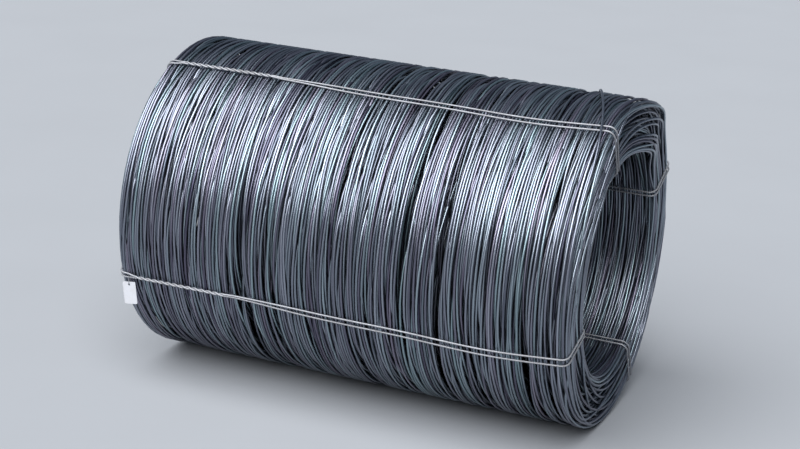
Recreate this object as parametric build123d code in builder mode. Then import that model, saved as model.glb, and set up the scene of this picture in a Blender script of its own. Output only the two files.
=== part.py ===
"""A coil of hot-rolled steel wire rod, lying on its barrel as it is stored in a yard.

One rod lies in hundreds of overlapping turns that make a thick-walled hollow roll. Four binding
wires hold it together. Each is one wire that goes twice round the wall: along the barrel, over one
end, back through the bore and over the other end. It is tightened by twisting its two strands on
the barrel near the left-hand end, and its own two ends lie side by side in the bore. A blank tag
hangs from the lower front binding wire by a closed loop of thin wire.

+X runs along the bore towards the right-hand end, -Y is the front and +Z is up. The origin is on
the floor under the middle of the coil. All sizes are in millimetres and angles in degrees.
"""

from build123d import *
import math
import os

# The roll
COIL_DIAMETER = 1250.0
BORE_DIAMETER = 850.0
COIL_LENGTH = 1800.0

# How its turns show: a bundle bent round each rim, and more between them, parted by grooves
RIM_RADIUS = 26.0
RIM_WIDTH = 42.0
RIM_BEND_COUNT = 3
BARREL_BUNDLE_COUNT = 7
BORE_BUNDLE_COUNT = 1
END_BUNDLE_COUNT = 3
GROOVE_DEPTH = 9.0
GROOVE_WIDTH = 28.0
UNEVEN_SHARE = 0.35

# The binding wires, each at its angle up from the front round the bore's axis
WIRE_DIAMETER = 6.5
WIRE_GAP = 0.3
WIRE_SIDE_COUNT = 6
BINDING_ANGLES = {
    "binding_wire_lower_front": -18.5,
    "binding_wire_upper_front": 65.5,
    "binding_wire_upper_back": 155.0,
    "binding_wire_lower_back": 243.0,
}
STRANDS_APART_LEFT = 18.0
STRANDS_APART_RIGHT = 27.0
TWIST_START = 75.0
TWIST_PITCH = 150.0
TWIST_WHOLE_TURN_COUNT = 2
END_OVERLAP = 110.0
END_SIDESTEP = 60.0

# The tag and the loop of thin wire that it hangs by
TAG_WIDTH = 66.0
TAG_HEIGHT = 104.0
TAG_THICKNESS = 1.2
TAG_CORNER_RADIUS = 5.0
TAG_HOLE_DIAMETER = 8.0
TAG_HOLE_MARGIN = 7.0
LOOP_WIRE_DIAMETER = 2.0
LOOP_SLACK = 0.9
LOOP_DROP = 22.0
LOOP_BEND_COUNT = 6

coil_radius = COIL_DIAMETER / 2
bore_radius = BORE_DIAMETER / 2
half_length = COIL_LENGTH / 2
coil_axis = Axis((0, 0, coil_radius), (1, 0, 0))
section_plane = Plane(origin=(0, 0, coil_radius), x_dir=(1, 0, 0), z_dir=(0, -1, 0))

wire_radius = WIRE_DIAMETER / 2
wire_offset = WIRE_GAP + wire_radius
strand_step = WIRE_DIAMETER + WIRE_GAP
barrel_run = coil_radius + wire_offset
bore_run = bore_radius - wire_offset
twist_quarter = TWIST_PITCH / 4
twist_quarter_count = 4 * TWIST_WHOLE_TURN_COUNT + 2


def on_circle(radius, angle):
    """The point of a circle round the origin at an angle from its first axis."""
    return radius * math.cos(math.radians(angle)), radius * math.sin(math.radians(angle))


def rim_points(toward_x, toward_rim, clearance):
    """The bend round a rim, from its level side to its upright one, as tangents of the rim's arc.

    toward_x is -1 at the left-hand end and 1 at the right-hand one, and toward_rim is -1 at the
    bore and 1 at the barrel. The points are (x, radius) pairs, and lie clearance outside the rod.
    """
    bend = 90 / RIM_BEND_COUNT
    reach = (RIM_RADIUS + clearance) / math.cos(math.radians(bend / 2))
    middle_x = half_length - RIM_RADIUS
    middle_radius = coil_radius - RIM_RADIUS if toward_rim > 0 else bore_radius + RIM_RADIUS
    points = []
    for k in range(RIM_BEND_COUNT):
        along, across = on_circle(reach, 90 - bend * (k + 0.5))
        points.append((toward_x * (middle_x + along), middle_radius + toward_rim * across))
    return points


def groove_places(low, high, bundle_count):
    """Where the grooves lie from low to high: one beside each rim, and more at uneven distances."""
    golden_angle = math.pi * (3 - math.sqrt(5))
    widths = [1 + UNEVEN_SHARE * math.sin(golden_angle * (k + 1) ** 2) for k in range(bundle_count)]
    scale = (high - low - 2 * RIM_WIDTH) / sum(widths)
    return [low + RIM_WIDTH + scale * sum(widths[:k]) for k in range(bundle_count + 1)]


def level_grooves(radius, outward, bundle_count):
    """The (x, radius) points of the grooves along the barrel or the bore, from left to right."""
    shoulder = GROOVE_WIDTH / 2
    bottom = radius - outward * GROOVE_DEPTH
    points = []
    for x in groove_places(-half_length, half_length, bundle_count):
        points += [(x - shoulder, radius), (x, bottom), (x + shoulder, radius)]
    return points


def upright_grooves(x, outward):
    """The (x, radius) points of the grooves on an end and of the crowns midway between them."""
    bottom = x - outward * GROOVE_DEPTH
    places = groove_places(bore_radius, coil_radius, END_BUNDLE_COUNT)
    points = [(bottom, places[0])]
    for before, after in zip(places, places[1:]):
        points += [(x, (before + after) / 2), (bottom, after)]
    return points


def around(x, radius, angle):
    """The point at x along the bore, at a radius and an angle up from the front round its axis."""
    forward, up = on_circle(radius, angle)
    return Vector(x, -forward, coil_radius + up)


def spread(distance, side):
    """The angle that moves a strand sideways by half of distance on the barrel."""
    return side * math.degrees(distance / 2 / coil_radius)


def twist_points(angle, side):
    """The strand's square helix round the twist's middle line, in quarter turns along the barrel."""
    outward = around(0, 1, angle) - around(0, 0, angle)
    sideways = outward.cross(Vector(1, 0, 0))
    start = around(TWIST_START - half_length, barrel_run + strand_step / 2, angle)
    points = []
    for k in range(twist_quarter_count + 1):
        across, out = on_circle(side * strand_step * math.sqrt(0.5), 45 + 90 * k)
        points.append(start + Vector(k * twist_quarter, 0, 0) + sideways * across + outward * out)
    return points


def lap_points(angle, side):
    """One lap from the bore over the left-hand end, the barrel and the right-hand end to the bore."""
    left = angle + spread(STRANDS_APART_LEFT, side)
    right = angle + spread(STRANDS_APART_RIGHT, -side)
    left_bends = rim_points(-1, -1, wire_offset) + rim_points(-1, 1, wire_offset)[::-1]
    right_bends = rim_points(1, 1, wire_offset) + rim_points(1, -1, wire_offset)[::-1]
    points = [around(x, radius, left) for x, radius in left_bends]
    points += twist_points(angle, side)
    points += [around(x, radius, right) for x, radius in right_bends]
    return points


# The wound rod: an outline with bent rims and grooved sides, turned round the bore's axis
with BuildPart() as rod_coil:
    with BuildSketch(section_plane):
        with BuildLine():
            Polyline(
                *level_grooves(coil_radius, 1, BARREL_BUNDLE_COUNT),
                *rim_points(1, 1, 0),
                *upright_grooves(half_length, 1)[::-1],
                *rim_points(1, -1, 0)[::-1],
                *level_grooves(bore_radius, -1, BORE_BUNDLE_COUNT)[::-1],
                *rim_points(-1, -1, 0),
                *upright_grooves(-half_length, -1),
                *rim_points(-1, 1, 0)[::-1],
                close=True,
            )
        make_face()
    revolve(axis=coil_axis)

# The binding wires: from one end in the bore, through two laps that twist together, to the other
binding_wires = {}
for name, angle in BINDING_ANGLES.items():
    first_side = angle + spread(STRANDS_APART_LEFT, 1)
    beside_first = first_side + math.degrees(strand_step / bore_run)
    start_points = [
        around(END_OVERLAP / 2, bore_run, beside_first),
        around(-END_OVERLAP / 2, bore_run, beside_first),
        around(-END_OVERLAP / 2 - END_SIDESTEP, bore_run, first_side),
    ]
    end_points = [
        around(END_OVERLAP / 2 + END_SIDESTEP, bore_run, first_side),
        around(-END_OVERLAP / 2, bore_run, first_side),
    ]
    with BuildPart() as binding_wire:
        with BuildLine() as route:
            Polyline(*start_points, *lap_points(angle, 1), *lap_points(angle, -1), *end_points)
        with BuildSketch(Plane(origin=route.line @ 0, z_dir=route.line % 0)):
            RegularPolygon(wire_radius, WIRE_SIDE_COUNT)
        sweep(path=route.line, transition=Transition.RIGHT)
    binding_wires[name] = binding_wire

# The loop that carries the tag hooks over the lower strand of the lower front wire, in the groove
# beside the left-hand rim
carrying_lap = lap_points(BINDING_ANGLES["binding_wire_lower_front"], -1)
rim_end = carrying_lap[2 * RIM_BEND_COUNT - 1]
twist_entry = carrying_lap[2 * RIM_BEND_COUNT]
tag_x = RIM_WIDTH - half_length
tag_share = (tag_x - rim_end.X) / (twist_entry.X - rim_end.X)
strand_place = rim_end + (twist_entry - rim_end) * tag_share

loop_wire_radius = LOOP_WIRE_DIAMETER / 2
strand_to_loop = wire_radius + WIRE_GAP + loop_wire_radius
loop_radius = strand_to_loop + LOOP_SLACK
loop_top_z = strand_place.Z + strand_to_loop
loop_middle = (tag_x, strand_place.Y, loop_top_z - loop_radius)
loop_bend = [on_circle(loop_radius, 180 * k / LOOP_BEND_COUNT) for k in range(LOOP_BEND_COUNT + 1)]
with BuildPart() as tag_wire:
    with BuildLine(Plane(origin=loop_middle, x_dir=(0, 1, 0), z_dir=(1, 0, 0))) as loop:
        Polyline(*loop_bend, *[(-across, -up - LOOP_DROP) for across, up in loop_bend], close=True)
    straight_leg = loop.edges().sort_by(SortBy.LENGTH)[-1]
    with BuildSketch(Plane(origin=straight_leg @ 0.5, z_dir=straight_leg % 0.5)):
        RegularPolygon(loop_wire_radius, WIRE_SIDE_COUNT)
    sweep(path=loop.line, transition=Transition.RIGHT)

# The tag: a blank plate with round corners, hung by its hole
loop_bottom_z = loop_top_z - 2 * loop_radius - LOOP_DROP
hole_z = loop_bottom_z + loop_wire_radius + WIRE_GAP - TAG_HOLE_DIAMETER / 2
hole_above_middle = TAG_HEIGHT / 2 - TAG_HOLE_MARGIN - TAG_HOLE_DIAMETER / 2
tag_middle = (tag_x, strand_place.Y, hole_z - hole_above_middle)
with BuildPart() as tag:
    with BuildSketch(Plane(origin=tag_middle, x_dir=(1, 0, 0), z_dir=(0, -1, 0))):
        RectangleRounded(TAG_WIDTH, TAG_HEIGHT, TAG_CORNER_RADIUS)
        with Locations((0, hole_above_middle)):
            Circle(TAG_HOLE_DIAMETER / 2, mode=Mode.SUBTRACT)
    extrude(amount=TAG_THICKNESS / 2, both=True)

os.makedirs("parts", exist_ok=True)

rod_coil.part.label = "rod_coil"
export_step(rod_coil.part, "parts/rod_coil.step")
for name, binding_wire in binding_wires.items():
    binding_wire.part.label = name
    export_step(binding_wire.part, f"parts/{name}.step")
tag_wire.part.label = "tag_wire"
export_step(tag_wire.part, "parts/tag_wire.step")
tag.part.label = "tag"
export_step(tag.part, "parts/tag.step")
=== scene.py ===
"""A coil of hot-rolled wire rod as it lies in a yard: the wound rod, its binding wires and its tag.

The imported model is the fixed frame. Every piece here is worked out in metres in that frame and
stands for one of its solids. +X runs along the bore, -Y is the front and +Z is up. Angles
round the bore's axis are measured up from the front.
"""

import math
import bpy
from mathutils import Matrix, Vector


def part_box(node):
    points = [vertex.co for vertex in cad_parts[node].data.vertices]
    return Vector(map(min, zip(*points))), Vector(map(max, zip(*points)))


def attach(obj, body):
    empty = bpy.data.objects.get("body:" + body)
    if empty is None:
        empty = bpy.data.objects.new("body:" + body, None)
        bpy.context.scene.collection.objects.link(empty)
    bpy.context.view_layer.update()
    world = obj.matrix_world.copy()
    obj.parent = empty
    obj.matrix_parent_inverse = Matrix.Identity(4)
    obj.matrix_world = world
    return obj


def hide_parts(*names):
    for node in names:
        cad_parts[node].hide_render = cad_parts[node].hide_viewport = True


bl_info = {
    "name": "Wire Rod Coil",
    "version": (1, 0, 0),
    "blender": (4, 5, 0),
    "location": "3D View > Sidebar > Wire Rod",
    "description": "Winds a coil of wire rod with its binding wires and its tag",
    "category": "Add Mesh",
}

import bpy
import numpy as np
from mathutils import Quaternion, Vector

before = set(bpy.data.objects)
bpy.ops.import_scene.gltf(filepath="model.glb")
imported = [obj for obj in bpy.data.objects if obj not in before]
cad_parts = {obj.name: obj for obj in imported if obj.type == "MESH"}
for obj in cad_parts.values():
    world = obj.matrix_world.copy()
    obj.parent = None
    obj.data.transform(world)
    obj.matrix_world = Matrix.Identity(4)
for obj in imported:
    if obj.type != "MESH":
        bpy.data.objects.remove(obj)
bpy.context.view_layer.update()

# What the frame says of the roll: its axis, its length, its barrel and its bore
ROLL_LOW, ROLL_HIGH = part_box("rod_coil")
HALF_LENGTH = (ROLL_HIGH.x - ROLL_LOW.x) / 2
COIL_RADIUS = (ROLL_HIGH.z - ROLL_LOW.z) / 2
AXIS_HEIGHT = (ROLL_HIGH.z + ROLL_LOW.z) / 2


def distance_from_axis(node):
    """The distances of a node's corners from the bore's axis."""
    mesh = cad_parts[node].data
    corners = np.empty(3 * len(mesh.vertices), np.float32)
    mesh.vertices.foreach_get("co", corners)
    corners = corners.reshape(-1, 3)
    return np.hypot(corners[:, 1], corners[:, 2] - AXIS_HEIGHT)


BORE_RADIUS = float(distance_from_axis("rod_coil").min())
MIDDLE_RADIUS = (COIL_RADIUS + BORE_RADIUS) / 2
RIM_RADIUS = 0.026

# The angles at which the binding wires lie
BINDING_ANGLES = {
    "binding_wire_lower_front": math.radians(-18.5),
    "binding_wire_upper_front": math.radians(65.5),
    "binding_wire_upper_back": math.radians(155.0),
    "binding_wire_lower_back": math.radians(243.0),
}

# The rod's mesh
SAMPLES_PER_TURN = 66
ROD_SIDES = 6
ROD_PIECES = 5

# How the lay strays: by how much, and over how many turns that changes
SPEED_STRETCH = 6.0
WANDER_STRETCH = 0.35
OFFSET_STRAY = (0.005, 0.5)
FILL_STRAY = (1.5, 1.0)
RING_STRAY = (0.003, 0.4)
REACH_STRAY = (0.004, 0.3)
SIDE_STRAY = (0.008, 0.25)

# How the lay differs near both ends: by what share, and over how many turns that fades
END_SPEED = (2.0, 8.0)
END_FILL = (0.65, 40.0)
END_CLOSENESS = (0.6, 45.0)

# The share that a full fill takes off a ring's offset, and how sharply the wall's faces hold the rod
FILL_SHARE = 0.2
WALL_SHARPNESS = 8

# Where the last turn climbs to the barrel, in turns before its end
CLIMB_START = 0.45
CLIMB_STOP = 0.08

# How the turns settle, with the stiffness in samples and the least gap in diameters
STIFFNESS = 3.0
TURNS_IN_REACH = 79
PUSH_SHARE = 0.7
LEAST_GAP = 0.05

# The spill of the last turns, with its stretch in turns
SPILL_ANGLE = math.radians(108)
SPILL_WIDTH = math.radians(21)
SPILL_STRETCH = 40.0

# The rod's loose end, with its climb and its sweep in turns
TAIL_SAMPLES = 24
TAIL_CLEARANCE = 0.0008
TAIL_CLIMB = 0.06
TAIL_SWEEP = 0.24
TAIL_SWEEP_START = 0.133
TAIL_SWEEP_STOP = 0.389
TAIL_HUMP = 0.0072
TAIL_HUMP_WIDTH = math.radians(13)

# A binding wire's mesh
STRAND_SIDES = 8
STRAND_STEP = 0.006
STRAND_MAP_ROW = 48
RIM_POINTS = 9
BARREL_POINTS = 420

# How the two strands rise into the twist, fall out of it, part and bow
RISE_RUN = 0.04
FALL_RUN = 0.05
PART_RUN = 0.35
PART_SHARE = 0.6
BOW_SKEW = 1.5
BOW_WAVE = 0.3
BOW_WAVE_ANGLE = 9.0

# Where a binding wire's own two ends lie along the bore
FIRST_END = (0.055, 0.02, -0.055)
LAST_END = (0.115, 0.055, 0.0, -0.055)

# The tag and its loop
TAG_HOLE_RADIUS = 0.004
TAG_HOLE_MARGIN = 0.007
TAG_CORNER_POINTS = 9
TAG_OUTLINE_POINTS = 90
TAG_FACE_POINTS = 12
LOOP_SIDES = 8
LOOP_BEND_POINTS = 25

# Edges that turn by more than this stay sharp
SHARP_ANGLE = math.radians(75)
TAG_SHARP_ANGLE = math.radians(35)

# Lengths up to which two points count as one, along a wire and across the roll's section
LEAST_STEP = 1e-5
LEAST_DISTANCE = 1e-9

# The stage
FLOOR_HALF_SIZE = 400.0
FLOOR_SHADE = 0.94
SENSOR_WIDTH = 36.0


class RodSettings(bpy.types.PropertyGroup):
    """How the rod is wound, and its colours"""

    diameter: bpy.props.FloatProperty(
        name="Rod Diameter", description="Thickness of the rod", default=0.010, unit="LENGTH"
    )
    turn_count: bpy.props.IntProperty(
        name="Turns", description="Turns of rod in the whole roll", default=1080, min=50
    )
    bundle_turns: bpy.props.FloatProperty(
        name="Turns per Bundle",
        description="Turns laid while the rings' offset goes once round the axis",
        default=23.0,
    )
    ring_offset: bpy.props.FloatProperty(
        name="Ring Offset",
        description="How far a turn's middle lies from the axis",
        default=0.135,
        unit="LENGTH",
    )
    bundle_unevenness: bpy.props.FloatProperty(
        name="Bundle Unevenness",
        description="Share by which the speed of laying varies from bundle to bundle",
        default=0.5,
        subtype="FACTOR",
    )
    wander: bpy.props.FloatProperty(
        name="Wander",
        description="Angle by which single turns stray from the even order",
        default=0.9,
        subtype="ANGLE",
    )
    spill: bpy.props.FloatProperty(
        name="Spill",
        description="How far the last turns at the right-hand end lean out at the top",
        default=0.048,
        unit="LENGTH",
    )
    settle_steps: bpy.props.IntProperty(
        name="Settling Steps",
        description="Passes in which turns that would cut each other are pushed apart",
        default=120,
    )
    seed: bpy.props.IntProperty(
        name="Seed", description="Start of the random draws for the turns", default=4
    )
    dark_colour: bpy.props.FloatVectorProperty(
        name="Dark Scale",
        description="Colour of the rod's thick mill scale",
        default=(0.036, 0.040, 0.065),
        subtype="COLOR",
    )
    light_colour: bpy.props.FloatVectorProperty(
        name="Light Scale",
        description="Colour of the rod's thin, bright mill scale",
        default=(0.455, 0.45, 0.485),
        subtype="COLOR",
    )
    violet_tint: bpy.props.FloatVectorProperty(
        name="Violet Tint",
        description="One of the two tints that the scale drifts between",
        default=(0.92, 0.85, 1.0),
        subtype="COLOR",
    )
    teal_tint: bpy.props.FloatVectorProperty(
        name="Teal Tint",
        description="The other of the two tints",
        default=(0.70, 0.97, 0.98),
        subtype="COLOR",
    )
    tint_share: bpy.props.FloatProperty(
        name="Tint Share", description="How strongly the tints show", default=0.88, subtype="FACTOR"
    )


class BindingSettings(bpy.types.PropertyGroup):
    """Sizes of the binding wires, and their colours"""

    diameter: bpy.props.FloatProperty(
        name="Wire Diameter",
        description="Thickness of the binding wire",
        default=0.0065,
        unit="LENGTH",
    )
    clearance: bpy.props.FloatProperty(
        name="Clearance",
        description="Gap between a wire and the rod",
        default=0.0003,
        unit="LENGTH",
    )
    apart_left: bpy.props.FloatProperty(
        name="Apart at Left",
        description="Distance of the strands at the left rim",
        default=0.018,
        unit="LENGTH",
    )
    apart_right: bpy.props.FloatProperty(
        name="Apart at Right",
        description="Distance of the strands at the right rim",
        default=0.027,
        unit="LENGTH",
    )
    twist_start: bpy.props.FloatProperty(
        name="Twist Start",
        description="Where the twist starts from the left end",
        default=0.075,
        unit="LENGTH",
    )
    twist_length: bpy.props.FloatProperty(
        name="Twist Length",
        description="Length of the twisted stretch",
        default=0.375,
        unit="LENGTH",
    )
    twist_turns: bpy.props.FloatProperty(
        name="Twist Turns",
        description="Turns in the twisted stretch, a whole number and a half",
        default=6.5,
    )
    bow: bpy.props.FloatProperty(
        name="Bow",
        description="How far the strands sag sideways past the twist",
        default=0.022,
        unit="LENGTH",
    )
    colour: bpy.props.FloatVectorProperty(
        name="Wire Colour",
        description="Colour of the binding wire",
        default=(0.28, 0.29, 0.315),
        subtype="COLOR",
    )
    dull_colour: bpy.props.FloatVectorProperty(
        name="Dull Spots",
        description="Colour of the binding wire's dull spots",
        default=(0.18, 0.175, 0.18),
        subtype="COLOR",
    )


class TagSettings(bpy.types.PropertyGroup):
    """Sizes of the tag, and its colours"""

    thickness: bpy.props.FloatProperty(
        name="Tag Thickness", description="Thickness of the tag", default=0.0012, unit="LENGTH"
    )
    corner_radius: bpy.props.FloatProperty(
        name="Corner Radius",
        description="Radius of the tag's corners",
        default=0.005,
        unit="LENGTH",
    )
    width: bpy.props.FloatProperty(
        name="Tag Width", description="Width of the tag", default=0.056, unit="LENGTH"
    )
    height: bpy.props.FloatProperty(
        name="Tag Height", description="Height of the tag", default=0.088, unit="LENGTH"
    )
    tilt: bpy.props.FloatProperty(
        name="Tilt",
        description="Angle at which the tag hangs askew",
        default=math.radians(7),
        subtype="ANGLE",
    )
    curl: bpy.props.FloatProperty(
        name="Curl",
        description="How far the tag's sides bend towards the roll",
        default=0.002,
        unit="LENGTH",
    )
    colour: bpy.props.FloatVectorProperty(
        name="Tag Colour",
        description="Colour of the tag",
        default=(0.44, 0.45, 0.485),
        subtype="COLOR",
    )
    dirt_colour: bpy.props.FloatVectorProperty(
        name="Tag Dirt",
        description="Colour of the dust and scuffs on the tag",
        default=(0.36, 0.35, 0.34),
        subtype="COLOR",
    )


class StageSettings(bpy.types.PropertyGroup):
    """The camera's place, the lights and the floor's colour"""

    azimuth: bpy.props.FloatProperty(
        name="Azimuth",
        description="Camera's angle to the right of the front",
        default=math.radians(22.3),
        subtype="ANGLE",
    )
    elevation: bpy.props.FloatProperty(
        name="Elevation",
        description="Camera's angle above level",
        default=math.radians(16.9),
        subtype="ANGLE",
    )
    distance: bpy.props.FloatProperty(
        name="Distance",
        description="Camera's distance from the roll's middle",
        default=7.28,
        unit="LENGTH",
    )
    roll: bpy.props.FloatProperty(
        name="Roll",
        description="Camera's turn about its own view",
        default=math.radians(3.5),
        subtype="ANGLE",
    )
    focal_length: bpy.props.FloatProperty(
        name="Focal Length",
        description="Camera's focal length in millimetres",
        default=84.0,
    )
    key_direction: bpy.props.FloatVectorProperty(
        name="Light Direction",
        description="Way that the main light shines",
        default=(0.10, 0.54, -0.84),
        subtype="DIRECTION",
    )
    key_strength: bpy.props.FloatProperty(
        name="Light Strength", description="Strength of the main light", default=8.4
    )
    key_width: bpy.props.FloatProperty(
        name="Light Width",
        description="Angle that the main light takes up, which makes it soft",
        default=math.radians(75),
        subtype="ANGLE",
    )
    sky_colour: bpy.props.FloatVectorProperty(
        name="Sky Colour",
        description="Colour of the light from all round",
        default=(0.62, 0.78, 1.0),
        subtype="COLOR",
    )
    sky_strength: bpy.props.FloatProperty(
        name="Sky Strength", description="Strength of the light from all round", default=0.20
    )
    floor_colour: bpy.props.FloatVectorProperty(
        name="Floor Colour",
        description="Colour of the floor",
        default=(0.228, 0.240, 0.259),
        subtype="COLOR",
    )


class Value:
    """A node's output socket, wrapped so that maths on numbers is written as an expression."""

    def __init__(self, finish, socket):
        self.finish = finish
        self.socket = socket

    def maths(self, operation, *operands):
        return self.finish.node("ShaderNodeMath", {"operation": operation}, dict(enumerate(operands)))

    def __add__(self, other):
        return self.maths("ADD", self, other)

    __radd__ = __add__

    def __sub__(self, other):
        return self.maths("SUBTRACT", self, other)

    def __rsub__(self, other):
        return self.maths("SUBTRACT", other, self)

    def __mul__(self, other):
        return self.maths("MULTIPLY", self, other)

    __rmul__ = __mul__

    def clamped(self):
        return self.maths("MINIMUM", self.maths("MAXIMUM", self, 0.0), 1.0)


class Finish:
    """A material in the making: a Principled shader and the nodes that feed it."""

    def __init__(self, name, **shader_values):
        self.material = bpy.data.materials.new(name)
        self.material.use_nodes = True
        self.tree = self.material.node_tree
        self.tree.nodes.clear()
        self.shader = self.tree.nodes.new("ShaderNodeBsdfPrincipled")
        output = self.tree.nodes.new("ShaderNodeOutputMaterial")
        self.tree.links.new(self.shader.outputs["BSDF"], output.inputs["Surface"])
        for label, value in shader_values.items():
            self.shader_input(label).default_value = value

    def shader_input(self, label):
        """The shader's socket for a name such as base_color."""
        return self.shader.inputs[label.replace("_", " ").title()]

    def node(self, kind, settings=None, inputs=None, output=0):
        """Adds a node: its settings first, then the values or links of its sockets.

        The setting named stops is a list of a ramp's positions, each with its brightness.
        """
        node = self.tree.nodes.new(kind)
        for name, value in (settings or {}).items():
            if name == "stops":
                for element, (position, brightness) in zip(node.color_ramp.elements, value):
                    element.position = position
                    element.color = (brightness, brightness, brightness, 1.0)
            else:
                setattr(node, name, value)
        for key, value in (inputs or {}).items():
            if isinstance(value, Value):
                self.tree.links.new(value.socket, node.inputs[key])
            else:
                node.inputs[key].default_value = value
        return Value(self, node.outputs[output])

    def object_place(self):
        return self.node("ShaderNodeTexCoord", output="Object")

    def attribute(self, name):
        return self.node("ShaderNodeAttribute", {"attribute_name": name}, output="Vector")

    def stretched(self, place, scale):
        return self.node("ShaderNodeVectorMath", {"operation": "MULTIPLY"}, {0: place, 1: scale})

    def noise(self, place, scale=1.0, detail=2.0, roughness=0.5):
        """Cloudy noise about a half, as a number."""
        values = {"Vector": place, "Scale": scale, "Detail": detail, "Roughness": roughness}
        return self.node("ShaderNodeTexNoise", inputs=values)

    def ramp(self, value, low, high):
        """A number brought from low..high to 0..1, and held there outside."""
        return self.node("ShaderNodeValToRGB", {"stops": [(low, 0.0), (high, 1.0)]}, {0: value})

    def colour_mix(self, factor, first, second, blend="MIX"):
        settings = {"data_type": "RGBA", "blend_type": blend}
        return self.node("ShaderNodeMix", settings, {0: factor, 6: first, 7: second}, output=2)

    def bump(self, height, strength, distance):
        values = {"Height": height, "Strength": strength, "Distance": distance}
        return self.node("ShaderNodeBump", inputs=values)

    def feed(self, **fields):
        """Links what varies over the surface to the shader."""
        for label, field in fields.items():
            self.tree.links.new(field.socket, self.shader_input(label))
        return self.material


def opaque(colour):
    """A colour with full alpha, as the nodes take it."""
    return (*colour, 1.0)


def mill_scale(settings):
    """Hot-rolled rod: blue-grey scale whose tint drifts along the rod, with patches and draw marks."""
    finish = Finish("mill_scale", metallic=1.0)
    place = finish.attribute("rod_place")

    def clouds(along, across, **shape):
        """Noise with so many clouds to a metre along the rod, and across it."""
        return finish.noise(finish.stretched(place, (along, across, across)), **shape)

    drift = clouds(along=0.09, across=0.0, detail=2.0)
    tint = clouds(along=0.045, across=0.0, detail=3.0, roughness=0.7)
    patches = clouds(along=5.0, across=160.0, detail=4.0, roughness=0.55)
    marks = clouds(along=5.0, across=900.0, detail=2.0)
    light = finish.ramp(drift, low=0.35, high=0.65) * 0.75
    light = (light + finish.ramp(patches, low=0.35, high=0.65) * 0.25).clamped()
    grey = finish.colour_mix(light, opaque(settings.dark_colour), opaque(settings.light_colour))
    violet_to_teal = finish.colour_mix(
        finish.ramp(tint, low=0.40, high=0.60),
        opaque(settings.violet_tint),
        opaque(settings.teal_tint),
    )
    height = patches * 0.6 + marks * 0.4
    return finish.feed(
        base_color=finish.colour_mix(settings.tint_share, grey, violet_to_teal, "MULTIPLY"),
        roughness=0.26 + patches * 0.15 + marks * 0.06,
        normal=finish.bump(height, strength=0.2, distance=0.0004),
    )


def binding_steel(settings):
    """Soft annealed wire: lighter grey than the rod, with dull spots."""
    finish = Finish("binding_steel", metallic=0.5)
    place = finish.object_place()
    spots = finish.noise(place, scale=160.0, detail=4.0, roughness=0.6)
    cloud = finish.noise(place, scale=9.0)
    dull = finish.ramp(spots, low=0.42, high=0.66) * 0.5
    dull = (dull + finish.ramp(cloud, low=0.4, high=0.65) * 0.3).clamped()
    bright = 1 - dull
    return finish.feed(
        base_color=finish.colour_mix(bright, opaque(settings.dull_colour), opaque(settings.colour)),
        roughness=0.75 - bright * 0.25,
        normal=finish.bump(spots, strength=0.3, distance=0.0003),
    )


def tag_plastic(settings):
    """A blank white tag with dust and handling marks."""
    finish = Finish("tag_plastic", roughness=0.5)
    place = finish.object_place()
    dust = finish.noise(place, scale=45.0, detail=5.0, roughness=0.65)
    scuffs = finish.noise(finish.stretched(place, (30.0, 30.0, 420.0)))
    dirt = finish.ramp(dust, low=0.5, high=0.78) * 0.5
    dirt = (dirt + finish.ramp(scuffs, low=0.6, high=0.8) * 0.25).clamped()
    return finish.feed(
        base_color=finish.colour_mix(dirt, opaque(settings.colour), opaque(settings.dirt_colour)),
        roughness=0.42 + dirt * 0.3,
        normal=finish.bump(dust, strength=0.2, distance=0.0004),
    )


def floor_finish(settings):
    """Plain pale ground with a faint cloudiness."""
    finish = Finish("pale_floor", roughness=0.8)
    cloud = finish.noise(finish.object_place(), scale=1.3, detail=4.0)
    shade = tuple(FLOOR_SHADE * channel for channel in settings.floor_colour)
    return finish.feed(
        base_color=finish.colour_mix(cloud, opaque(settings.floor_colour), opaque(shade))
    )


def unit(vectors):
    """Vectors divided by their lengths."""
    return vectors / np.linalg.norm(vectors, axis=-1, keepdims=True)


def around(x, radius, angle):
    """Points at x along the axis, at a radius from it and at an angle up from the front.

    A point lies radius cos(angle) in front of the axis and radius sin(angle) above it.
    """
    return np.stack([x, -radius * np.cos(angle), AXIS_HEIGHT + radius * np.sin(angle)], axis=-1)


def eased(value, start, stop):
    """0 before start, 1 after stop, and between them 3 s^2 - 2 s^3 for the share s that is done."""
    share = np.clip((value - start) / (stop - start), 0, 1)
    return share * share * (3 - 2 * share)


def lengths_along(path):
    """The length of a path up to each of its points."""
    return np.concatenate([[0], np.cumsum(np.linalg.norm(np.diff(path, axis=0), axis=1))])


def at_lengths(places, lengths, path):
    """The points of a path, as straight runs, at the given lengths along it."""
    columns = [np.interp(places, lengths, path[:, k]) for k in range(path.shape[1])]
    return np.stack(columns, axis=-1)


def tube(path, radius, side_count, reference, closed=False):
    """A round profile carried along a path.

    Point k of each ring is the path's point plus radius times (cos a_k normal + sin a_k binormal).
    The normal is the reference direction made square to the path. On a closed path the first point
    follows the last.
    """
    if closed:
        tangent = unit(np.roll(path, -1, axis=0) - np.roll(path, 1, axis=0))
    else:
        tangent = unit(np.gradient(path, axis=0))
    normal = unit(reference - (reference * tangent).sum(axis=-1, keepdims=True) * tangent)
    binormal = np.cross(tangent, normal)
    angle = 2 * math.pi * np.arange(side_count) / side_count
    cosine, sine = np.cos(angle)[None, :, None], np.sin(angle)[None, :, None]
    return path[:, None] + radius * (cosine * normal[:, None] + sine * binormal[:, None])


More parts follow.
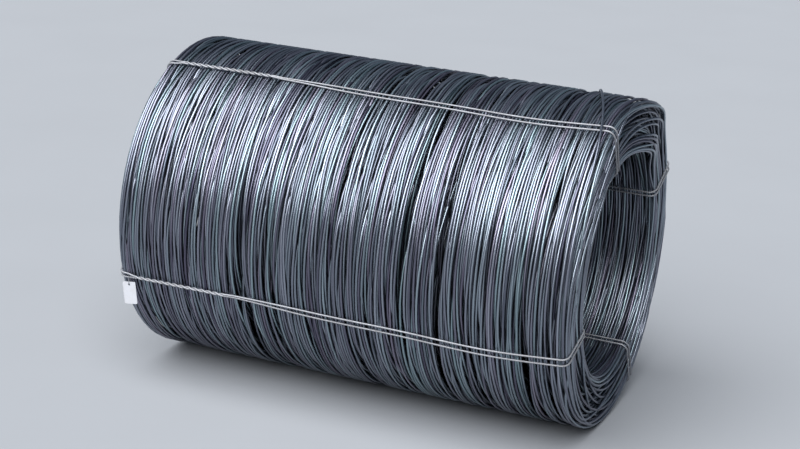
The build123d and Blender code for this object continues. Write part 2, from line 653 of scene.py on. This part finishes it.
def row_map(quad_count, side_count, row_length):
    """Places on a square image for the faces of a long tube, one row for every row_length rings.

    Across the image runs the share of the row, and up it the row's number plus the share round the
    tube. The cut along the tube lies opposite its first side.
    """
    ring, side = np.divmod(np.arange(quad_count), side_count)
    row, step = np.divmod(ring, row_length)
    across = (step[:, None] + np.array([0, 0, 1, 1])) / row_length
    side = (side + side_count // 2) % side_count
    up = row[:, None] + (side[:, None] + np.array([0, 1, 1, 0])) / side_count
    return np.stack([across, up / (row.max() + 1)], axis=-1)


def grid_faces(ring_count, side_count, closed_path):
    """The quads between the rings of a grid, and the caps on its first and last rings.

    Quad (i, j) joins points j and j + 1 of rings i and i + 1. A closed path joins the last ring to
    the first and has no caps.
    """
    index = np.arange(ring_count * side_count).reshape(ring_count, side_count)
    ahead = np.roll(index, -1, axis=0)
    rows = slice(None) if closed_path else slice(None, -1)
    quads = np.stack([index, np.roll(index, -1, 1), np.roll(ahead, -1, 1), ahead], axis=-1)[rows]
    caps = [] if closed_path else [index[0][::-1], index[-1]]
    return quads.reshape(-1, 4), caps


def enclosed_volume(points, quads):
    """About six times the volume inside the quads, above zero where they face outwards.

    It is the sum of the triple products of the corners of each quad's two triangles.
    """
    a, b, c, d = (points[quads[:, k]] for k in range(4))
    return (np.cross(b, c) * a).sum() + (np.cross(c, d) * a).sum()


def grid_piece(name, points, closed_path=False, row_length=0, sharp_angle=SHARP_ANGLE):
    """A mesh from a grid of points: rings one after another, each ring closed.

    The first and last rings are capped, or joined to each other where closed_path is true. A long
    tube gets a map with a row for every row_length rings.
    """
    ring_count, side_count = points.shape[:2]
    quads, caps = grid_faces(ring_count, side_count, closed_path)
    places = row_map(len(quads), side_count, row_length) if row_length else np.empty((0, 4, 2))
    flat = points.reshape(-1, 3)
    if enclosed_volume(flat, quads) < 0:
        quads, places = quads[:, ::-1], places[:, ::-1]
        caps = [cap[::-1] for cap in caps]
    corners = np.concatenate([quads.ravel(), *caps]).astype(np.int32)
    sizes = np.concatenate([np.full(len(quads), 4), np.full(len(caps), side_count)])
    starts = np.concatenate([[0], np.cumsum(sizes)[:-1]]).astype(np.int32)

    mesh = bpy.data.meshes.new(name)
    mesh.vertices.add(len(flat))
    mesh.vertices.foreach_set("co", flat.astype(np.float32).ravel())
    mesh.loops.add(len(corners))
    mesh.loops.foreach_set("vertex_index", corners)
    mesh.polygons.add(len(sizes))
    mesh.polygons.foreach_set("loop_start", starts)
    mesh.polygons.foreach_set("use_smooth", sizes == 4)
    mesh.update(calc_edges=True)
    if row_length:
        spread = np.zeros((len(corners), 2), np.float32)
        spread[: quads.size] = places.reshape(-1, 2)
        mesh.uv_layers.new(name="OFBake").uv.foreach_set("vector", spread.ravel())
    mesh.validate()
    mesh.set_sharp_from_angle(angle=sharp_angle)
    piece = bpy.data.objects.new(name, mesh)
    bpy.context.scene.collection.objects.link(piece)
    return piece


def seat(piece, material, slot, *nodes):
    """Gives a piece its finish and its body, and hides the nodes that it stands for. The slot is not
    used.
    """
    piece.data.materials.append(material)
    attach(piece, "root")
    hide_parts(*nodes)


def smoothing(count, width):
    """What is kept of each frequency f where values are smoothed over about width samples.

    It is exp(-(2 pi f width)^2 / 2).
    """
    frequency = np.fft.rfftfreq(count)
    return np.exp(-0.5 * (2 * math.pi * frequency * width) ** 2)


def smoothed(values, kept):
    """Values along the rod whose spectrum is multiplied by what is kept of each frequency."""
    return np.fft.irfft(np.fft.rfft(values) * kept, len(values))


def smooth_noise(random, count, width):
    """Gaussian noise of unit spread along the rod, smooth over about width samples."""
    noise = smoothed(random.normal(size=count), smoothing(count, width))
    return noise / noise.std()


def held_in_roll(x, radius, rod_radius):
    """Keeps the rod inside the roll's section: a rectangle with round corners, less half a rod.

    A point further than the rim's radius less the rod's from the rectangle inside the rims is
    brought back to that distance, straight towards it.
    """
    middle_x = np.clip(x, -HALF_LENGTH + RIM_RADIUS, HALF_LENGTH - RIM_RADIUS)
    middle_radius = np.clip(radius, BORE_RADIUS + RIM_RADIUS, COIL_RADIUS - RIM_RADIUS)
    out_x = x - middle_x
    out_radius = radius - middle_radius
    distance = np.hypot(out_x, out_radius)
    share = np.minimum(1.0, (RIM_RADIUS - rod_radius) / np.maximum(distance, LEAST_DISTANCE))
    return middle_x + share * out_x, middle_radius + share * out_radius


def laid_rod(settings):
    """The middle line of the rod, one turn after another, as x, radius and angle.

    A turn is a ring whose middle lies off the roll's axis, and from turn to turn that offset goes
    round the axis, so that turns gather into bundles on the barrel and in the bore. A fill, which
    varies from 0 to 1, takes a share off the offset, so that some turns lie deep in the wall. At
    angle a, a ring of radius r that is off by d towards angle b lies d cos(a - b) +
    sqrt(r^2 - d^2 sin^2(a - b)) from the axis. With s as that distance past the wall's middle, in
    halves of its thickness, the rod lies at s / (1 + |s|^n)^(1/n), which keeps it in the wall. Near
    both ends the turns lie closer together and less far off the axis, and their offset goes round
    faster.
    """
    random = np.random.default_rng(settings.seed)
    count = settings.turn_count * SAMPLES_PER_TURN
    turn = (np.arange(count) + 0.5) / SAMPLES_PER_TURN
    from_end = np.minimum(turn, settings.turn_count - turn)
    angle = 2 * math.pi * turn

    def stray(size, turns):
        """Random straying of a size, which changes over so many turns."""
        return size * smooth_noise(random, count, turns * SAMPLES_PER_TURN)

    def near_end(share, turns):
        """A share at both ends, which fades over so many turns."""
        return share * np.exp(-from_end / turns)

    speed = 1 + stray(settings.bundle_unevenness, SPEED_STRETCH)
    speed *= 1 + near_end(*END_SPEED)
    offset_angle = np.cumsum(speed) * 2 * math.pi / settings.bundle_turns / SAMPLES_PER_TURN
    offset_angle += stray(settings.wander, WANDER_STRETCH)
    offset = settings.ring_offset + stray(*OFFSET_STRAY)
    fill = 0.5 + 0.5 * np.tanh(stray(*FILL_STRAY))
    offset *= 1 - fill * (FILL_SHARE + near_end(*END_FILL))
    ring = MIDDLE_RADIUS + stray(*RING_STRAY)
    apart = angle - offset_angle
    radius = offset * np.cos(apart) + np.sqrt(ring**2 - (offset * np.sin(apart)) ** 2)

    reach = (COIL_RADIUS - BORE_RADIUS - settings.diameter) / 2 - np.abs(stray(*REACH_STRAY))
    share = (radius - MIDDLE_RADIUS) / reach
    held_back = (1 + np.abs(share) ** WALL_SHARPNESS) ** (1 / WALL_SHARPNESS)
    radius = MIDDLE_RADIUS + reach * share / held_back
    advance = np.cumsum(1 - near_end(*END_CLOSENESS))
    x = HALF_LENGTH * (2 * advance / advance[-1] - 1)
    x += stray(*SIDE_STRAY)
    climb = eased(turn, settings.turn_count - CLIMB_START, settings.turn_count - CLIMB_STOP)
    radius += climb * (COIL_RADIUS - settings.diameter / 2 - radius)

    x, radius = settled(settings, x, radius)
    return with_loose_end(settings, turn, x, radius, angle)


def settled(settings, x, radius):
    """Pushes turns apart until they lie side by side.

    Wherever the rod passes itself at less than a diameter, one or more whole turns on, both
    stretches give way by half of what they overlap, straight away from each other. The stiff rod
    spreads that push smoothly along itself.
    """
    diameter = settings.diameter
    count = len(x)
    stiffness = smoothing(count, STIFFNESS)
    x, radius = held_in_roll(x, radius, diameter / 2)
    for _ in range(settings.settle_steps):
        push_x = np.zeros(count)
        push_radius = np.zeros(count)
        for turns_on in range(1, TURNS_IN_REACH + 1):
            shift = turns_on * SAMPLES_PER_TURN
            gap_x = x[shift:] - x[:-shift]
            gap_radius = radius[shift:] - radius[:-shift]
            near = np.flatnonzero((np.abs(gap_radius) < diameter) & (gap_x < diameter))
            gap_x = np.maximum(gap_x[near], LEAST_GAP * diameter)
            gap_radius = gap_radius[near]
            gap = np.hypot(gap_x, gap_radius)
            share = 0.5 * np.maximum(diameter - gap, 0) / gap
            for push, part in ((push_x, gap_x), (push_radius, gap_radius)):
                push[near + shift] += share * part
                push[near] -= share * part
        x = x + smoothed(PUSH_SHARE * push_x, stiffness)
        radius = radius + smoothed(PUSH_SHARE * push_radius, stiffness)
        x, radius = held_in_roll(x, radius, diameter / 2)
    return x, radius


def with_loose_end(settings, turn, x, radius, angle):
    """Lets the last turns spill out a little at the top, and lays the rod's end over the barrel.

    The last turns' x gains the spill times exp(-turns left / stretch) times exp(-(a / width)^2) for
    the angle a from the spill's own. Past the last turn the rod climbs onto the barrel, its x easing
    back towards the left, and rises by the hump times exp(-(b / width)^2) for the angle b from the
    upper front binding wire, which it crosses.
    """
    from_spill = (angle - SPILL_ANGLE + math.pi) % (2 * math.pi) - math.pi
    last = np.exp(-(settings.turn_count - turn) / SPILL_STRETCH)
    x = x + settings.spill * np.exp(-((from_spill / SPILL_WIDTH) ** 2)) * last

    tail_turn = np.arange(1, TAIL_SAMPLES + 1) / SAMPLES_PER_TURN
    tail_angle = 2 * math.pi * tail_turn
    on_rods = COIL_RADIUS + settings.diameter / 2 + TAIL_CLEARANCE
    from_wire = tail_angle - BINDING_ANGLES["binding_wire_upper_front"]
    hump = TAIL_HUMP * np.exp(-((from_wire / TAIL_HUMP_WIDTH) ** 2))
    tail_radius = radius[-1] + eased(tail_turn, 0, TAIL_CLIMB) * (on_rods - radius[-1]) + hump
    tail_x = x[-1] - TAIL_SWEEP * eased(tail_turn, TAIL_SWEEP_START, TAIL_SWEEP_STOP)
    return (
        np.concatenate([x, tail_x]),
        np.concatenate([radius, tail_radius]),
        np.concatenate([angle, angle[-1] + tail_angle]),
    )


class WIRECOIL_OT_rod(bpy.types.Operator):
    """Winds the rod into the roll, as joined stretches of one continuous rod"""

    bl_idname = "wirecoil.rod"
    bl_label = "Wound Rod"

    def execute(self, context):
        settings = context.scene.wirecoil_rod
        x, radius, angle = laid_rod(settings)
        path = around(x, radius, angle)
        outward = around(np.zeros_like(x), 1.0, angle) - np.array([0, 0, AXIS_HEIGHT])
        rings = tube(path, settings.diameter / 2, ROD_SIDES, outward)
        place = self.places(path, settings.diameter / 2)
        material = mill_scale(settings)
        turns = settings.turn_count * np.arange(ROD_PIECES + 1) // ROD_PIECES
        edges = turns * SAMPLES_PER_TURN
        edges[-1] = len(path) - 1
        for number, (start, stop) in enumerate(zip(edges[:-1], edges[1:]), 1):
            stretch = slice(start, stop + 1)
            piece = grid_piece(f"rod_turns_{number}", rings[stretch], row_length=SAMPLES_PER_TURN)
            attribute = piece.data.attributes.new("rod_place", "FLOAT_VECTOR", "POINT")
            attribute.data.foreach_set("vector", place[stretch].ravel())
            seat(piece, material, "wound_rod", "rod_coil")
        return {"FINISHED"}

    def places(self, path, rod_radius):
        """Where each point lies on the rod: its length along it, and its place in its section."""
        side_angle = 2 * math.pi * np.arange(ROD_SIDES) / ROD_SIDES
        place = np.empty((len(path), ROD_SIDES, 3), np.float32)
        place[:, :, 0] = lengths_along(path)[:, None]
        place[:, :, 1] = rod_radius * np.cos(side_angle)
        place[:, :, 2] = rod_radius * np.sin(side_angle)
        return place


def rim_arc(toward_x, toward_rim, clearance):
    """The bend round a rim, from its level side to its upright one, as (x, radius) columns.

    It is a quarter circle, clearance outside the rim's own. toward_x is -1 at the left-hand end and
    1 at the right-hand one, and toward_rim is -1 at the bore and 1 at the barrel.
    """
    bend = np.linspace(math.pi / 2, 0, RIM_POINTS)
    reach = RIM_RADIUS + clearance
    rim = COIL_RADIUS if toward_rim > 0 else BORE_RADIUS
    x = toward_x * (HALF_LENGTH - RIM_RADIUS + reach * np.cos(bend))
    return x, rim + toward_rim * (reach * np.sin(bend) - RIM_RADIUS)


def strand_on_barrel(settings, side):
    """One strand along the barrel, as columns of x, radius and angle from the wire's own.

    The two strands run in from the left rim, turn round each other in the twist and part again
    towards the right rim. In the twist a strand's phase p grows evenly with x, and it lies half of
    the strands' distance times cos p to the side and times sin p up. Past it the strands bow
    sideways by bow times sin(pi s^skew) times (1 + wave sin(c s)), for the share s that is done.
    side is 1 or -1, and says which of them this is.
    """
    x = np.linspace(-HALF_LENGTH + RIM_RADIUS, HALF_LENGTH - RIM_RADIUS, BARREL_POINTS)
    start = settings.twist_start - HALF_LENGTH
    stop = start + settings.twist_length
    touching = (settings.diameter + settings.clearance) / 2
    phase = 2 * math.pi * settings.twist_turns * np.clip((x - start) / (stop - start), 0, 1)
    past_twist = np.clip((x - stop) / (x[-1] - stop), 0, 1)
    parted = eased(x, stop, stop + PART_RUN) * PART_SHARE + past_twist * (1 - PART_SHARE)
    half_apart = touching + (settings.apart_left / 2 - touching) * (1 - eased(x, x[0], start))
    half_apart += (settings.apart_right / 2 - touching) * parted
    run = COIL_RADIUS + settings.clearance + settings.diameter / 2
    bow = settings.bow * np.sin(math.pi * past_twist**BOW_SKEW)
    bow *= 1 + BOW_WAVE * np.sin(BOW_WAVE_ANGLE * past_twist)
    lift = touching * eased(x, start - RISE_RUN, start) * (1 - eased(x, stop, stop + FALL_RUN))
    radius = run + lift + side * touching * np.sin(phase)
    return x, radius, (side * half_apart * np.cos(phase) - bow) / run


def binding_path(settings, angle):
    """The whole binding wire: twice round the wall, from its one end in the bore to its other."""
    offset = settings.clearance + settings.diameter / 2
    bore_run = BORE_RADIUS - offset
    beside = (settings.diameter + settings.clearance) / bore_run
    left = settings.apart_left / 2 / (COIL_RADIUS + offset)
    right = settings.apart_right / 2 / (COIL_RADIUS + offset)

    def in_bore(places, sideways):
        """A stretch along the bore, as columns of x, radius and angle from the wire's own."""
        return np.array(places), np.full(len(places), bore_run), np.full(len(places), sideways)

    def over_rim(toward_x, toward_rim, sideways):
        """The bend round a rim, in the order in which the wire passes it."""
        x, radius = rim_arc(toward_x, toward_rim, offset)
        order = toward_x * toward_rim
        return x[::order], radius[::order], np.full(len(x), sideways)

    stretches = [in_bore(FIRST_END, left + beside)]
    for side in (1, -1):
        stretches += [
            over_rim(-1, -1, side * left),
            over_rim(-1, 1, side * left),
            strand_on_barrel(settings, side),
            over_rim(1, 1, -side * right),
            over_rim(1, -1, -side * right),
        ]
    stretches.append(in_bore(LAST_END, left))
    x, radius, sideways = (np.concatenate(columns) for columns in zip(*stretches))
    path = around(x, radius, angle + sideways)
    steps = np.linalg.norm(np.diff(path, axis=0), axis=1)
    return path[np.concatenate([[True], steps > LEAST_STEP])]


def evenly_spaced(path, step):
    """The same path with a point at about every step of its length, ends included."""
    lengths = lengths_along(path)
    places = np.linspace(0, lengths[-1], int(lengths[-1] / step) + 1)
    return at_lengths(places, lengths, path)


class WIRECOIL_OT_binding_wires(bpy.types.Operator):
    """Binds the roll with wires that go twice round its wall and are twisted tight"""

    bl_idname = "wirecoil.binding_wires"
    bl_label = "Binding Wires"

    def execute(self, context):
        settings = context.scene.wirecoil_binding
        material = binding_steel(settings)
        for name, angle in BINDING_ANGLES.items():
            path = evenly_spaced(binding_path(settings, angle), STRAND_STEP)
            sideways = np.broadcast_to([0, math.sin(angle), math.cos(angle)], path.shape)
            rings = tube(path, settings.diameter / 2, STRAND_SIDES, sideways)
            piece = grid_piece(f"{name}_strands", rings, row_length=STRAND_MAP_ROW)
            seat(piece, material, "binding_wire", name)
        return {"FINISHED"}


class WIRECOIL_OT_tag(bpy.types.Operator):
    """Hangs the blank tag on its loop of thin wire"""

    bl_idname = "wirecoil.tag"
    bl_label = "Tag"

    def execute(self, context):
        self.loop(binding_steel(context.scene.wirecoil_binding))
        self.plate(context.scene.wirecoil_tag)
        return {"FINISHED"}

    def loop(self, steel):
        """A closed loop: two round bends joined by two straight legs."""
        low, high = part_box("tag_wire")
        wire_radius = (high.x - low.x) / 2
        bend_radius = (high.y - low.y) / 2 - wire_radius
        turn = np.linspace(0, math.pi, LOOP_BEND_POINTS)
        across = np.concatenate([np.cos(turn), -np.cos(turn)]) * bend_radius
        top = high.z - wire_radius - bend_radius + np.sin(turn) * bend_radius
        bottom = low.z + wire_radius + bend_radius - np.sin(turn) * bend_radius
        height = np.concatenate([top, bottom])
        x = np.full(len(height), (low.x + high.x) / 2)
        path = np.stack([x, (high.y + low.y) / 2 + across, height], axis=-1)
        sideways = np.broadcast_to([1.0, 0, 0], path.shape)
        rings = tube(path, wire_radius, LOOP_SIDES, sideways, closed=True)
        seat(grid_piece("tag_wire_loop", rings, closed_path=True), steel, "tag_wire", "tag_wire")

    def outline(self, settings, middle):
        """The tag's outline as points: quarter circles at its corners, and points between them."""
        corner = settings.corner_radius
        out_x = settings.width / 2 - corner
        out_z = settings.height / 2 - corner
        turn = np.linspace(0, math.pi / 2, TAG_CORNER_POINTS)
        quarters = []
        for number, (toward_x, toward_z) in enumerate([(1, 1), (-1, 1), (-1, -1), (1, -1)]):
            angle = turn + number * math.pi / 2
            arc = corner * np.stack([np.cos(angle), np.sin(angle)], axis=-1)
            quarters.append(middle + (toward_x * out_x, toward_z * out_z) + arc)
        closed = np.concatenate([*quarters, quarters[0][:1]])
        lengths = lengths_along(closed)
        places = np.union1d(lengths, np.linspace(0, lengths[-1], TAG_OUTLINE_POINTS))[:-1]
        return at_lengths(places, lengths, closed)

    def plate(self, settings):
        """A plate with round corners and a hole: its section carried once round the hole.

        The section runs from the hole to the outline on the front, and back to the hole behind. A
        point at share s of the way lies at hole + (1 - s) radius direction + s (outline - hole). The
        sides bend towards the roll by curl times the square of the share to the side, growing
        evenly down from the hole, and the whole plate is turned about the hole by the tilt.
        """
        low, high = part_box("tag")
        hole = np.array([(low.x + high.x) / 2, high.z - TAG_HOLE_MARGIN - TAG_HOLE_RADIUS])
        outline = self.outline(settings, np.array([hole[0], high.z - settings.height / 2]))
        away = unit(outline - hole)
        front = np.linspace(0, 1, TAG_FACE_POINTS)
        share = np.concatenate([front, front[::-1]])
        face = np.repeat([-1.0, 1.0], TAG_FACE_POINTS) * settings.thickness / 2
        flat = hole + TAG_HOLE_RADIUS * away[:, None] * (1 - share)[None, :, None]
        flat = flat + (outline - hole)[:, None] * share[None, :, None]
        bend = settings.curl * ((flat[:, :, 0] - hole[0]) / (settings.width / 2)) ** 2
        bend *= np.clip((hole[1] - flat[:, :, 1]) / settings.height, 0, 1)
        y = (low.y + high.y) / 2 + face[None, :] + bend
        aside, down = np.moveaxis(flat - hole, -1, 0)
        cosine, sine = math.cos(settings.tilt), math.sin(settings.tilt)
        x = hole[0] + aside * cosine - down * sine
        z = hole[1] + aside * sine + down * cosine
        points = np.stack([x, y, z], axis=-1)
        piece = grid_piece("tag_plate", points, closed_path=True, sharp_angle=TAG_SHARP_ANGLE)
        seat(piece, tag_plastic(settings), "tag", "tag")


class WIRECOIL_OT_stage(bpy.types.Operator):
    """Sets the floor, the lights and the camera"""

    bl_idname = "wirecoil.stage"
    bl_label = "Floor, Lights and Camera"

    def execute(self, context):
        settings = context.scene.wirecoil_stage
        self.floor(context.scene, settings)
        self.lights(context.scene, settings)
        self.camera(context.scene, settings)
        return {"FINISHED"}

    def floor(self, scene, settings):
        """A level square, far larger than what the camera sees."""
        half = FLOOR_HALF_SIZE
        mesh = bpy.data.meshes.new("floor")
        corners = [(-half, -half, 0), (half, -half, 0), (half, half, 0), (-half, half, 0)]
        mesh.from_pydata(corners, [], [(0, 1, 2, 3)])
        mesh.materials.append(floor_finish(settings))
        floor = bpy.data.objects.new("floor", mesh)
        scene.collection.objects.link(floor)

    def lights(self, scene, settings):
        """One wide light high at the front, and a dim, even sky."""
        world = bpy.data.worlds.new("studio")
        world.use_nodes = True
        sky = world.node_tree.nodes["Background"]
        sky.inputs["Color"].default_value = opaque(settings.sky_colour)
        sky.inputs["Strength"].default_value = settings.sky_strength
        scene.world = world
        data = bpy.data.lights.new("soft_key", "SUN")
        data.energy = settings.key_strength
        data.angle = settings.key_width
        light = bpy.data.objects.new("soft_key", data)
        light.rotation_euler = Vector(settings.key_direction).to_track_quat("-Z", "Y").to_euler()
        scene.collection.objects.link(light)
        scene.view_settings.view_transform = "Standard"

    def camera(self, scene, settings):
        """Stands where the coil is seen from in life, and looks at the middle of the roll."""
        data = bpy.data.cameras.new("camera")
        data.lens = settings.focal_length
        data.sensor_width = SENSOR_WIDTH
        camera = bpy.data.objects.new("camera", data)
        level = math.cos(settings.elevation)
        aside = math.sin(settings.azimuth) * level
        back = -math.cos(settings.azimuth) * level
        away = Vector((aside, back, math.sin(settings.elevation)))
        camera.location = Vector((0, 0, AXIS_HEIGHT)) + away * settings.distance
        camera.rotation_mode = "QUATERNION"
        aim = (-away).to_track_quat("-Z", "Y")
        camera.rotation_quaternion = aim @ Quaternion((0, 0, 1), settings.roll)
        scene.collection.objects.link(camera)
        scene.camera = camera


class WIRECOIL_PT_panel(bpy.types.Panel):
    """Lists the steps that make the coil"""

    bl_label = "Wire Rod Coil"
    bl_idname = "WIRECOIL_PT_panel"
    bl_space_type = "VIEW_3D"
    bl_region_type = "UI"
    bl_category = "Wire Rod"

    def draw(self, context):
        for settings, operator in STEPS:
            column = self.layout.column()
            group = getattr(context.scene, settings)
            for name in group.bl_rna.properties.keys():
                if name not in ("rna_type", "name"):
                    column.prop(group, name)
            column.operator(operator)


SETTINGS = {
    "wirecoil_rod": RodSettings,
    "wirecoil_binding": BindingSettings,
    "wirecoil_tag": TagSettings,
    "wirecoil_stage": StageSettings,
}
STEPS = [
    ("wirecoil_rod", "wirecoil.rod"),
    ("wirecoil_binding", "wirecoil.binding_wires"),
    ("wirecoil_tag", "wirecoil.tag"),
    ("wirecoil_stage", "wirecoil.stage"),
]
OPERATORS = [WIRECOIL_OT_rod, WIRECOIL_OT_binding_wires, WIRECOIL_OT_tag, WIRECOIL_OT_stage]


def register():
    for cls in (*SETTINGS.values(), *OPERATORS, WIRECOIL_PT_panel):
        bpy.utils.register_class(cls)
    for name, group in SETTINGS.items():
        setattr(bpy.types.Scene, name, bpy.props.PointerProperty(type=group))


def unregister():
    for name in SETTINGS:
        delattr(bpy.types.Scene, name)
    for cls in (WIRECOIL_PT_panel, *reversed(OPERATORS), *reversed(SETTINGS.values())):
        bpy.utils.unregister_class(cls)


def main():
    register()
    bpy.ops.wirecoil.rod()
    bpy.ops.wirecoil.binding_wires()
    bpy.ops.wirecoil.tag()
    bpy.ops.wirecoil.stage()


if __name__ == "__main__":
    main()
